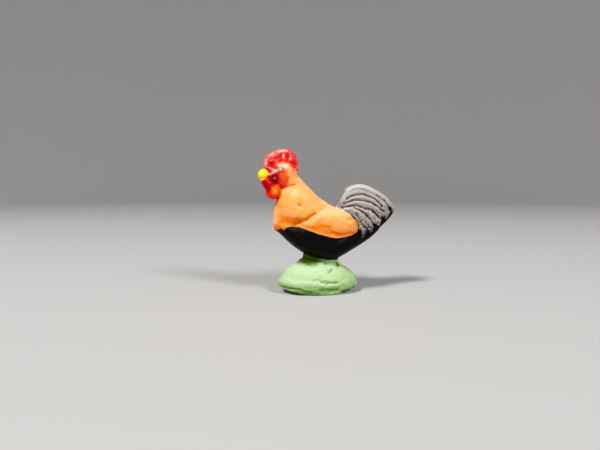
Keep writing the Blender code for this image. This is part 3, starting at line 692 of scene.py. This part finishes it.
def sample(field, places):
    """The field at each place, between its grid points."""
    at = (places - np.array(GRID_LOW)) / GRID_STEP
    cell = np.clip(np.floor(at).astype(int), 0, np.array(field.shape) - 2)
    share = at - cell
    total = np.zeros(len(places))
    for corner in CELL_CORNERS:
        weight = np.where(corner, share, 1 - share).prod(axis=1)
        total += weight * field[tuple((cell + corner).T)]
    return total


def edges_of(quads):
    """Each edge of the mesh once."""
    pairs = np.vstack([quads[:, [k, (k + 1) % 4]] for k in range(4)])
    return np.unique(np.sort(pairs, axis=1), axis=0)


def neighbours_mean(values, edges):
    """For each vertex the mean of its neighbours' values."""
    total = np.zeros_like(values)
    number = len(values)
    count = np.bincount(edges.ravel(), minlength=number)
    for column in range(values.shape[1]):
        for start, end in ((0, 1), (1, 0)):
            weights = values[edges[:, end], column]
            total[:, column] += np.bincount(edges[:, start], weights=weights, minlength=number)
    return total / count[:, None]


def slopes(field, places):
    """The field's slope at each place."""
    step = 0.5 * GRID_STEP
    parts = []
    for shift in step * np.eye(3):
        parts.append((sample(field, places + shift) - sample(field, places - shift)) / (2 * step))
    return np.stack(parts, axis=1)


def settle(places, edges, field):
    """Even the mesh out along the surface and bring it back onto it."""
    for _ in range(SETTLE_ROUNDS):
        places = places + 0.5 * (neighbours_mean(places, edges) - places)
        slope = slopes(field, places)
        size = np.maximum((slope ** 2).sum(axis=1), LEAST_DIVISOR)
        places = places - slope * (sample(field, places) / size)[:, None]
    return places


def noise_at(x, y, z, size, seed):
    """Smooth noise, about -1 to 1, of the given grain at a place."""
    return noise.noise(Vector((x / size + seed, y / size, z / size)))


def lumps(places):
    """How far the rolled clay stands proud at each place: soft on the bird, rougher on the mound."""
    proud = np.empty(len(places))
    for number, (x, y, z) in enumerate(places):
        rough = min(max((MOUND_LUMPS_END - z) / (MOUND_LUMPS_END - MOUND_LUMPS_FULL), 0.0), 1.0)
        soft = BIRD_LUMPS[0] * noise_at(x, y, z, BIRD_LUMPS[1], 3.0)
        coarse = MOUND_LUMPS[0] * noise_at(x, y, 1.6 * z, MOUND_LUMPS[1], 11.0)
        crumbs = MOUND_CRUMBS[0] * noise_at(x, y, 1.6 * z, MOUND_CRUMBS[1], 23.0)
        proud[number] = soft + rough * (coarse + crumbs)
    return proud


def normals_of(field, places):
    """The way out of the clay at each place."""
    slope = slopes(field, places)
    return slope / np.maximum(np.linalg.norm(slope, axis=1, keepdims=True), 1e-6)


def relief_of(places, normals, edges):
    """How far each vertex stands proud of the smoothed surface, in millimetres."""
    smoothed = places
    for _ in range(RELIEF_ROUNDS):
        smoothed = 0.5 * smoothed + 0.5 * neighbours_mean(smoothed, edges)
    return ((places - smoothed) * normals).sum(axis=1)


def shade_of(field, places, normals):
    """How closed in each vertex is by the clay round it, 0 in the open to 1 in a deep crease."""
    shade = np.zeros(len(places))
    for reach in SHADE_REACH:
        clear = sample(field, np.clip(places + normals * reach, GRID_LOW, GRID_HIGH)) / reach
        shade += np.clip(1 - clear, 0, 1) / len(SHADE_REACH)
    return shade


def area_distance(outline, x, z):
    """Signed distance to an outline of the side view, above 0 inside it."""
    inside = np.zeros(x.shape, dtype=bool)
    closed = outline + outline[:1]
    for (ax, az), (bx, bz) in zip(closed, closed[1:]):
        if az == bz:
            continue
        crossing = (z < az) != (z < bz)
        inside ^= crossing & (x < ax + (z - az) / (bz - az) * (bx - ax))
    distance = line_distance(closed, x, z)
    return np.where(inside, distance, -distance)


def paint_edges(places):
    """Signed distance to each paint's border. The far side was painted a little differently."""
    far = np.clip(places[:, 1] / 2 + 0.5, 0, 1)
    x = places[:, 0] - PAINT_SHIFT_X * far
    z = places[:, 2] + PAINT_SHIFT_Z * far
    return {name: np.max([area_distance(outline, x, z) for outline in outlines], axis=0)
            for name, outlines in PAINTED.items()}


def add_object(name, data):
    """An object of the scene from its mesh, lens or light."""
    made = bpy.data.objects.new(name, data)
    bpy.context.scene.collection.objects.link(made)
    return made


def make_skin():
    """The clay of the whole bird and its mound, with its paint borders as attributes."""
    field = shape_clay()
    places, quads = draw_off(field)
    edges = edges_of(quads)
    places = settle(places, edges, field)
    normals = normals_of(field, places)
    above_floor = np.clip(places[:, 2] / FLOOR_FADE, 0, 1)
    places = places + normals * (lumps(places) * above_floor)[:, None]
    mesh = bpy.data.meshes.new("clay_skin")
    mesh.from_pydata((places * MM).tolist(), [], quads.tolist())
    mesh.shade_smooth()
    values = paint_edges(places)
    values["relief"] = relief_of(places, normals, edges)
    values["shade"] = shade_of(field, places, normals)
    values["up"] = normals[:, 2]
    for name, numbers in values.items():
        layer = mesh.attributes.new(name, "FLOAT", "POINT")
        layer.data.foreach_set("value", numbers.astype(np.float32))
    return add_object("clay_skin", mesh), field


class Nodes:
    """A material's node tree, with one short call for each kind of node."""

    def __init__(self, name):
        self.material = bpy.data.materials.new(name)
        self.material.use_nodes = True
        self.tree = self.material.node_tree
        self.shader = self.tree.nodes["Principled BSDF"]
        self.place = self.tree.nodes.new("ShaderNodeTexCoord").outputs["Object"]

    def put(self, value, socket):
        """Link a socket, or set a number or colour."""
        if hasattr(value, "links"):
            self.tree.links.new(value, socket)
        else:
            socket.default_value = value

    def add(self, kind, *values, **settings):
        """A node with its settings, and with values for its first inputs."""
        node = self.tree.nodes.new("ShaderNode" + kind)
        for name, setting in settings.items():
            setattr(node, name, setting)
        for value, socket in zip(values, node.inputs):
            self.put(value, socket)
        return node

    def attribute(self, name):
        """A value that the mesh has at each vertex."""
        return self.add("Attribute", attribute_name=name).outputs["Fac"]

    def math(self, operation, *values):
        """One step of arithmetic."""
        return self.add("Math", *values, operation=operation).outputs[0]

    def times(self, first, second):
        """Two values multiplied."""
        return self.math("MULTIPLY", first, second)

    def most(self, first, second):
        """The higher of two values."""
        return self.math("MAXIMUM", first, second)

    def plus(self, base, value, times):
        """A base and so many times a value."""
        return self.math("MULTIPLY_ADD", value, times, base)

    def noise(self, size, detail=2.0, roughness=0.5, stretch=(1, 1, 1), distortion=0.0):
        """Noise of the given grain in millimetres, 0 to 1."""
        mapping = self.add("Mapping", self.place)
        mapping.inputs["Scale"].default_value = stretch
        node = self.add("TexNoise", mapping.outputs[0])
        node.inputs["Scale"].default_value = 1 / (size * MM)
        node.inputs["Detail"].default_value = detail
        node.inputs["Roughness"].default_value = roughness
        node.inputs["Distortion"].default_value = distortion
        return node.outputs["Fac"]

    def along(self, way):
        """How far along a direction each place lies, in millimetres."""
        node = self.add("VectorMath", self.place, Vector(way) / MM, operation="DOT_PRODUCT")
        return node.outputs["Value"]

    def span(self, value, low, high, out_low=0.0, out_high=1.0):
        """Map low..high to out_low..out_high with soft ends."""
        values = (value, low, high, out_low, out_high)
        return self.add("MapRange", *values, interpolation_type="SMOOTHSTEP").outputs[0]

    def colour(self, share, first, second):
        """The first colour, with the second over it as far as its share."""
        node = self.add("Mix", share, data_type="RGBA")
        for value, socket in ((first, node.inputs[6]), (second, node.inputs[7])):
            self.put(value if hasattr(value, "links") else (*value, 1.0), socket)
        return node.outputs[2]

    def number(self, share, first, second):
        """The first number, going over to the second as the share grows."""
        node = self.add("Mix", share)
        self.put(first, node.inputs[2])
        self.put(second, node.inputs[3])
        return node.outputs[0]

    def bump(self, height, depth, below=None):
        """Bump with a depth in millimetres over another bump."""
        node = self.add("Bump")
        node.inputs["Distance"].default_value = depth * MM
        self.put(height, node.inputs["Height"])
        if below is not None:
            self.put(below, node.inputs["Normal"])
        return node.outputs[0]


class Brush(Nodes):
    """Nodes with what the clay and the painter's hand do to every paint."""

    def __init__(self, name):
        super().__init__(name)
        self.relief = self.attribute("relief")
        self.up = self.attribute("up")
        self.shade = self.attribute("shade")
        self.height = self.along((0, 0, 1))
        self.rearward = self.along((1, 0, 0))
        self.blotch = self.noise(GRAIN["blotch"], 3)
        self.hand = self.noise(GRAIN["hand"], 2)
        self.speck = self.noise(GRAIN["speck"], 4, 0.78)
        self.broken = self.span(self.noise(GRAIN["broken"], 3), 0.36, 0.52, 0.2, 1.0)
        self.wobble = self.times(self.math("SUBTRACT", self.hand, 0.5), HAND_SWAY)
        # Where creases and hollows take painted shade
        self.crease = self.most(self.span(self.relief, -0.02, -0.12), self.span(self.shade, 0.15, 0.6))

    def area(self, outline, softness, unsteady=1.0):
        """1 inside an outline and 0 outside it, with a soft border that follows an unsteady hand."""
        edge = self.plus(self.attribute(outline), self.wobble, unsteady)
        return self.span(edge, -softness, softness)

    def lay(self, colour, paint, share):
        """A paint laid over a colour, as far as its share."""
        return self.colour(share, colour, PAINT[paint])

    def dab(self, colour, paint, outline, softness, share):
        """A paint laid thinly over a colour inside an outline."""
        return self.lay(colour, paint, self.times(self.area(outline, softness), share))


def black_paint(n):
    """Satin black, dusty in blotches, with a dull painted sheen on breast and rump. Colour and roughness.
    """
    dusty = n.span(n.blotch, 0.55, 0.8, 0.0, 0.4)
    # Painted reflection on breast and rump, over the dust
    sheen = n.most(n.area("breast_sheen", 0.5), n.area("rump_sheen", 0.4))
    colour = n.lay(PAINT["black"], "dust_and_sheen_black", n.most(dusty, sheen))
    return colour, n.number(dusty, ROUGHNESS["black"], ROUGHNESS["dusty_black"])


def brush_tail(n, colour, rough):
    """Grey brushed dry over the tail's black. It stays on the feathers' ridges and breaks up towards
    their tips and behind the wing. The ridges are paler where they face up, as painted highlight, and
    the root is darker, as painted shade. Colour and roughness."""
    worn = n.span(n.along((1, 0, -1)), -14.5, -4.5)
    ridge = n.span(n.relief, -0.06, 0.05)
    cover = n.plus(n.number(worn, -4.4, -6.4), n.speck, 12.0)
    cover = n.plus(cover, ridge, 1.4)
    cover = n.plus(cover, n.times(worn, n.span(n.attribute("grey"), 0.7, 0.0)), -0.5)
    cover = n.plus(cover, n.span(n.height, 14.0, 12.0), -0.8)
    behind_wing = n.times(n.span(n.attribute("orange"), -0.5, -0.15), n.span(n.height, 16.6, 15.4))
    brushed = n.times(n.span(cover, -0.3, 0.3), n.area("grey", 0.2))
    brushed = n.times(brushed, n.math("SUBTRACT", 1.0, behind_wing))

    ground = n.lay(PAINT["brown_black"], "black", worn)
    colour = n.colour(n.area("grey", 0.3), colour, ground)
    grey = n.lay(n.lay(PAINT["dull_grey"], "brown_black", worn), "grey", ridge)
    # Painted highlight: the ridges are paler where they face up
    grey = n.lay(grey, "highlight_grey", n.times(ridge, n.span(n.up, -0.3, 0.6)))
    grey = n.lay(grey, "brown_grey", n.times(worn, n.span(n.blotch, 0.4, 0.6, 0.2, 0.8)))
    # Painted shade: the tail's root is darker
    grey = n.dab(grey, "root_shade_grey", "tail_root_shade", 0.4, 0.7)
    return n.colour(brushed, colour, grey), n.number(brushed, rough, ROUGHNESS["grey"])


def green_paint(n):
    """Matt green, paler in random blotches, with painted light and shade: paler on top, darker towards
    the back, deep in hollows, under the mound's bulge and on the legs.
    """
    # Painted light: paler where the green faces up
    green = n.lay(PAINT["green"], "pale_green", n.span(n.up, -0.3, 0.75))
    green = n.lay(green, "pale_green", n.span(n.blotch, 0.4, 0.7, 0.0, 0.5))
    # Painted shade: darker towards the back
    green = n.lay(green, "green", n.span(n.along((1, 0, 0.3)), 1.0, 8.0, 0.0, 0.45))
    # Painted shade: darker where the green faces down
    green = n.lay(green, "shade_green", n.span(n.up, -0.2, -0.8, 0.0, 0.6))
    # Painted shade in creases and in the mound's folds
    fold_shade = n.times(n.area("fold_shade", 0.14, 0.5), 0.7)
    green = n.lay(green, "shade_green", n.most(n.crease, fold_shade))
    # Painted shade on the near leg under the belly
    green = n.dab(green, "shade_green", "near_leg_shade", 0.3, 0.3)
    # Painted shadow of the body on the far leg
    return n.lay(green, "olive_shadow", n.area("olive_shadow", 0.5))


def orange_paint(n):
    """Satin orange in uneven strokes, with painted highlight in cream where it faces up and on its
    ridges, and painted shade in deep orange and brown where it faces down, in creases and in hollows.
    """
    orange = n.lay(PAINT["orange"], "pale_orange", n.span(n.blotch, 0.35, 0.65))
    streaks = n.span(n.noise(GRAIN["streak"], 3, 0.6), 0.47, 0.64, 0.0, 0.75)
    orange = n.lay(orange, "pink_orange", streaks)
    orange = n.dab(orange, "pink_orange", "pink_neck", 0.7, 0.7)
    # Painted highlight: cream where the orange faces up, on its ridges and at lit places
    cream_light = n.most(n.span(n.up, 0.35, 1.0, 0.0, 0.9), n.span(n.relief, 0.01, 0.09, 0.0, 0.3))
    cream_light = n.most(cream_light, n.times(n.area("lit_cream", 0.6), n.span(n.hand, 0.3, 0.65, 0.3, 0.85)))
    orange = n.lay(orange, "lit_cream", cream_light)
    # Painted highlight in broken patches above the eye and on the saddle
    orange = n.lay(orange, "highlight_white", n.times(n.area("highlight_spots", 0.3), n.broken))
    # Painted shade: deeper where the orange faces down
    orange = n.lay(orange, "deep_orange", n.span(n.up, -0.1, -0.7, 0.0, 0.7))
    orange = n.dab(orange, "rich_orange", "wing_band", 0.35, 0.85)
    # Painted light on the breast's front edge
    orange = n.dab(orange, "lit_cream", "breast_edge_light", 0.7, 0.45)
    # Painted shade in creases, hollows and folds
    orange = n.lay(orange, "deep_orange", n.most(n.crease, n.area("deep_orange", 0.35)))
    orange = n.lay(orange, "deep_orange", n.span(n.speck, 0.53, 0.7, 0.0, 0.6))
    # Painted shade: brown in the deepest creases and under the hackle
    deepest_shade = n.most(n.span(n.shade, 0.45, 0.9), n.times(n.area("cape_shade", 0.5), 0.5))
    return n.lay(orange, "shade_brown", deepest_shade)


def red_paint(n, cheek):
    """Glossy red, with pink painted highlight and sheen on the comb and the face's ridges, painted shade
    deep in the comb's pits and the face's hollows, and pale painted glints.
    """
    # Painted highlight: pink on the face's ridges and on the comb's rim
    ridges = n.times(n.span(n.relief, 0.0, 0.1), n.span(n.height, 24.4, 25.2))
    ridges = n.times(ridges, n.span(n.rearward, -5.4, -6.8))
    rim = n.times(n.area("comb_rim_highlight", 0.35), n.span(n.hand, 0.35, 0.6, 0.2, 0.7))
    # Painted sheen mottled over the comb between its ridges
    pink_sheen = n.span(n.noise(GRAIN["pink_sheen"], 3), 0.42, 0.68, 0.0, 0.6)
    pink_sheen = n.times(pink_sheen, n.span(n.height, 25.8, 27.0))
    pink_sheen = n.times(pink_sheen, n.span(n.relief, -0.12, 0.0))
    pink_sheen = n.times(pink_sheen, n.span(n.rearward, -4.8, -6.6, 0.5, 1.0))
    pale_highlight = n.most(n.times(ridges, 0.7), n.most(rim, pink_sheen))
    red = n.lay(PAINT["red"], "pink", pale_highlight)
    # Painted shade in the comb's pits
    red = n.dab(red, "shade_red", "comb_pit_shade", 0.3, 0.6)
    red = n.dab(red, "orange_red", "ear", 0.6, 0.9)
    # Painted shade: deep red in the hollow under the eye and in creases
    red = n.lay(red, "shade_red", n.most(n.times(cheek, 0.85), n.span(n.shade, 0.5, 1.0)))
    glint = n.times(n.area("glint", 0.2, 0.5), n.broken)
    return n.lay(red, "pale_pink", n.times(glint, n.span(n.up, 0.95, 0.6)))


def painted_clay():
    """The paints over one another: black, grey on the tail, green, orange, red and the beak's yellow."""
    n = Brush("painted_clay")
    colour, rough = black_paint(n)
    colour, rough = brush_tail(n, colour, rough)

    on_ground = n.area("green", 0.06, 0.3)
    colour = n.colour(on_ground, colour, green_paint(n))
    rough = n.number(on_ground, rough, ROUGHNESS["green"])

    on_bird = n.area("orange", 0.07, 0.35)
    colour = n.colour(on_bird, colour, orange_paint(n))
    rough = n.number(on_bird, rough, ROUGHNESS["orange"])

    on_head = n.area("red", 0.45)
    # The hollow under the eye, with painted shade and no gloss
    cheek = n.area("cheek", 0.5)
    colour = n.colour(on_head, colour, red_paint(n, cheek))
    rough = n.number(on_head, rough, ROUGHNESS["red"])
    gloss = n.times(on_head, n.number(cheek, GLOSS["red"], 0.0))
    # Painted shadow under the jaw
    colour = n.dab(colour, "shade_red", "jaw_shadow", 0.3, 0.5)
    # The lump's orange paint, with painted highlight in cream on its crown
    lump = n.lay(PAINT["deep_orange"], "lit_cream", n.span(n.relief, 0.04, 0.12))
    colour = n.colour(n.times(n.area("lump", 0.4), 0.9), colour, lump)

    on_beak = n.area("yellow", 0.05, 0.4)
    # Painted shade: the beak is deeper yellow where it faces down
    yellow = n.lay(PAINT["yellow"], "shade_yellow", n.span(n.up, 0.2, -0.6))
    colour = n.colour(on_beak, colour, yellow)
    rough = n.number(on_beak, rough, ROUGHNESS["yellow"])
    gloss = n.most(gloss, n.times(on_beak, GLOSS["yellow"]))

    rolled = n.times(on_ground, n.noise(GRAIN["rolled"], 4, 0.6))
    kneaded = n.times(on_head, n.noise(GRAIN["kneaded"], 1))
    strokes = n.noise(GRAIN["strokes"], 2, stretch=(0.35, 1, 1), distortion=0.4)
    surface = n.bump(rolled, BUMP_DEPTH["rolled"])
    surface = n.bump(kneaded, BUMP_DEPTH["kneaded"], surface)
    surface = n.bump(strokes, BUMP_DEPTH["strokes"], surface)
    surface = n.bump(n.noise(GRAIN["clay"], 3, 0.65), BUMP_DEPTH["clay"], surface)

    n.put(colour, n.shader.inputs["Base Color"])
    n.put(rough, n.shader.inputs["Roughness"])
    n.put(gloss, n.shader.inputs["Coat Weight"])
    n.put(surface, n.shader.inputs["Normal"])
    n.shader.inputs["Specular IOR Level"].default_value = PAINT_SPECULAR
    n.shader.inputs["Coat Roughness"].default_value = GLOSS_ROUGHNESS
    return n.material


def eye_paint():
    """A thick dot of glossy black paint, with a painted highlight on its upper front."""
    n = Nodes("eye_gloss")
    # Painted highlight on the eye's upper front
    middle = EYE_HIGHLIGHT_WAY[0] * EYE[0] + EYE_HIGHLIGHT_WAY[1] * EYE[1]
    upward = n.math("SUBTRACT", n.along((EYE_HIGHLIGHT_WAY[0], 0, EYE_HIGHLIGHT_WAY[1])), middle)
    pale_highlight = n.plus(n.noise(GRAIN["eye"], 3), upward, 0.25)
    colour = n.colour(n.span(pale_highlight, 0.45, 0.55), PAINT["eye_black"], PAINT["eye_highlight"])
    n.put(colour, n.shader.inputs["Base Color"])
    n.shader.inputs["Roughness"].default_value = ROUGHNESS["eye"]
    n.shader.inputs["Specular IOR Level"].default_value = EYE_SPECULAR
    return n.material


def surface_depth(field, x, z, side):
    """How far out in Y the clay reaches on one side, at a place of the side view."""
    out = np.arange(0, 6, 0.05)
    column = np.stack([np.full_like(out, x), side * out, np.full_like(out, z)], axis=1)
    return out[sample(field, column) < 0].max()


def make_eye(name, side, field, material):
    """A domed dot of paint that sits in the side of the head."""
    depth = side * (surface_depth(field, EYE[0], EYE[1], side) - EYE_SINK)
    mesh = bpy.data.meshes.new(name)
    form = bmesh.new()
    bmesh.ops.create_uvsphere(form, u_segments=32, v_segments=20, radius=EYE_RADIUS * MM)
    for vertex in form.verts:
        vertex.co.y *= EYE_FLATNESS
        swell = 1 + EYE_LUMPS[0] * noise_at(*(vertex.co / MM), EYE_LUMPS[1], 5.0 * side)
        vertex.co = vertex.co * swell + Vector((EYE[0], depth, EYE[1])) * MM
    form.to_mesh(mesh)
    form.free()
    mesh.shade_smooth()
    mesh.materials.append(material)
    return add_object(name, mesh)


def make_camera():
    """A camera at the photograph's place."""
    lens = bpy.data.cameras.new("camera")
    lens.lens = FOCAL_PIXELS / PHOTO_WIDTH * SENSOR_WIDTH
    lens.clip_start = NEAREST_SEEN
    camera = add_object("camera", lens)
    camera.location = Vector(CAMERA_PLACE) * MM
    camera.rotation_euler = (math.radians(90 - CAMERA_TILT), 0, math.radians(CAMERA_TURN))
    bpy.context.scene.camera = camera


def make_sweep():
    """A pale round floor that curves up into a wall all round, far from the bird."""
    profile = [(0.0, 0.0), (0.3, 0.0)]
    for step in range(SWEEP_STEPS + 1):
        angle = step / SWEEP_STEPS * math.pi / 2
        profile.append((SWEEP_RADIUS - SWEEP_CURVE + SWEEP_CURVE * math.sin(angle),
                        SWEEP_CURVE * (1 - math.cos(angle))))
    profile.append((SWEEP_RADIUS, SWEEP_HEIGHT))
    mesh = bpy.data.meshes.new("pale_sweep")
    form = bmesh.new()
    line = [form.verts.new((r, 0, z)) for r, z in profile]
    steps = [form.edges.new(pair) for pair in zip(line, line[1:])]
    bmesh.ops.spin(form, geom=line + steps, cent=(0, 0, 0), axis=(0, 0, 1), angle=2 * math.pi, steps=72,
                   use_merge=True)
    bmesh.ops.remove_doubles(form, verts=form.verts, dist=0.0001)
    form.to_mesh(mesh)
    form.free()
    mesh.shade_smooth()
    paper = Nodes("pale_paper")
    paper.put((*PAPER, 1.0), paper.shader.inputs["Base Color"])
    paper.put(ROUGHNESS["paper"], paper.shader.inputs["Roughness"])
    mesh.materials.append(paper.material)
    add_object("pale_sweep", mesh)


def make_lamp(name, place, size, power):
    """A square soft light that faces the bird."""
    light = bpy.data.lights.new(name, "AREA")
    light.size = size
    light.energy = power
    lamp = add_object(name, light)
    lamp.location = Vector(place)
    lamp.rotation_euler = (Vector(LAMP_TARGET) - Vector(place)).to_track_quat("-Z", "Y").to_euler()


def make_room_light():
    """A faint white light from all round."""
    world = bpy.data.worlds.new("pale_room")
    world.use_nodes = True
    background = world.node_tree.nodes["Background"]
    background.inputs["Color"].default_value = (1, 1, 1, 1)
    background.inputs["Strength"].default_value = ROOM_LIGHT
    bpy.context.scene.world = world


skin, clay_field = make_skin()
skin.data.materials.append(painted_clay())
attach(skin, "root")
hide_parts(*[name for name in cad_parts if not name.startswith("eye_")])

eye_gloss = eye_paint()
for name, side in (("eye_left", -1), ("eye_right", 1)):
    eye = make_eye(name + "_dot", side, clay_field, eye_gloss)
    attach(eye, "root")
    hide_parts(name)

make_camera()
make_sweep()
make_room_light()
for row in LAMPS:
    make_lamp(*row)
bpy.context.scene.view_settings.view_transform = "Standard"
